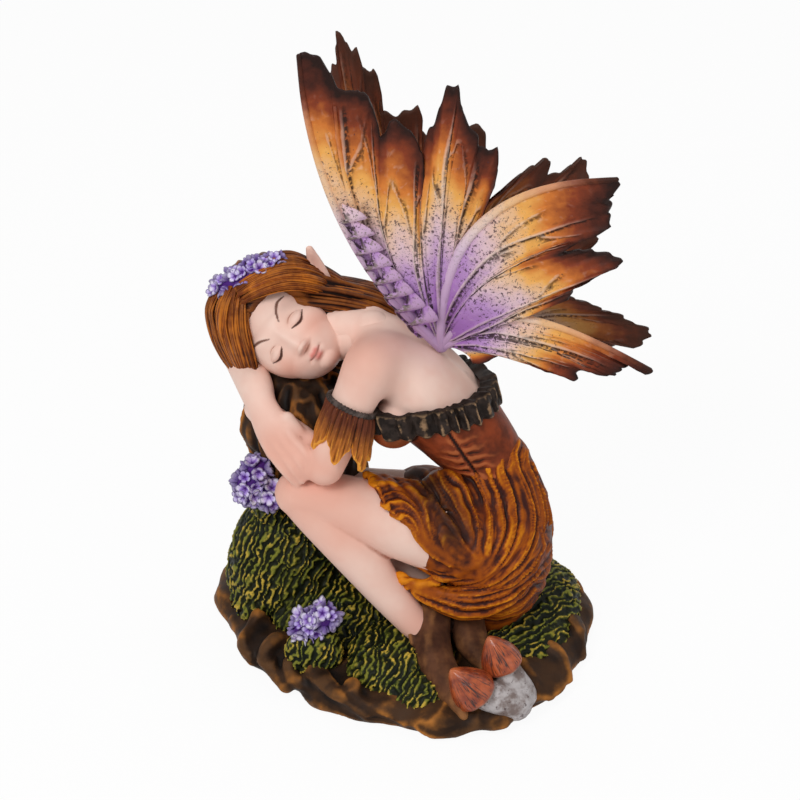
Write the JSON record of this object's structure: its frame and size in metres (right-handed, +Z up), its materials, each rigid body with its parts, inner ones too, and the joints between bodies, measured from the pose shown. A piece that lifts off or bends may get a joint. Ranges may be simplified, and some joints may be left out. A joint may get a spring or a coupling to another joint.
{
  "type": "fairy figurine",
  "caption": "Sleeping fairy seated on a mossy rock, resting on folded arms over a tree stump, with ragged leaf-like wings, pleated skirt, blossoms and mushrooms.",
  "frame": {"origin": "on the flat underside, under the middle of the rock base", "axes": "+Z up; the fairy leans towards -X over the stump; her left side and the front of the rock face -Y"},
  "size_m": [0.1048, 0.0856, 0.1554],
  "materials": {
    "painted_cast": "cold-cast resin, hand painted in browns, greens and skin tones",
    "near_wing_paint": "cast resin, airbrushed from lilac at the root to orange and dark brown at the edge",
    "far_wing_paint": "cast resin, airbrushed from lilac at the root to orange and dark brown at the edge",
    "skin": "satin skin paint on cold-cast resin",
    "hair": "drybrushed auburn paint on cold-cast resin",
    "dress": "drybrushed orange and brown paint on cold-cast resin",
    "moss": "dark green paint drybrushed yellow-green on cold-cast resin",
    "rock": "dark brown wash on cold-cast resin",
    "blossom": "lilac paint with white petal edges",
    "mushroom": "semi-gloss orange-red caps on speckled white stems"
  },
  "bodies": {
    "root": {"fairy_on_rock": "painted_cast", "left_wing": "near_wing_paint", "right_wing": "far_wing_paint"}
  },
  "joints": []
}
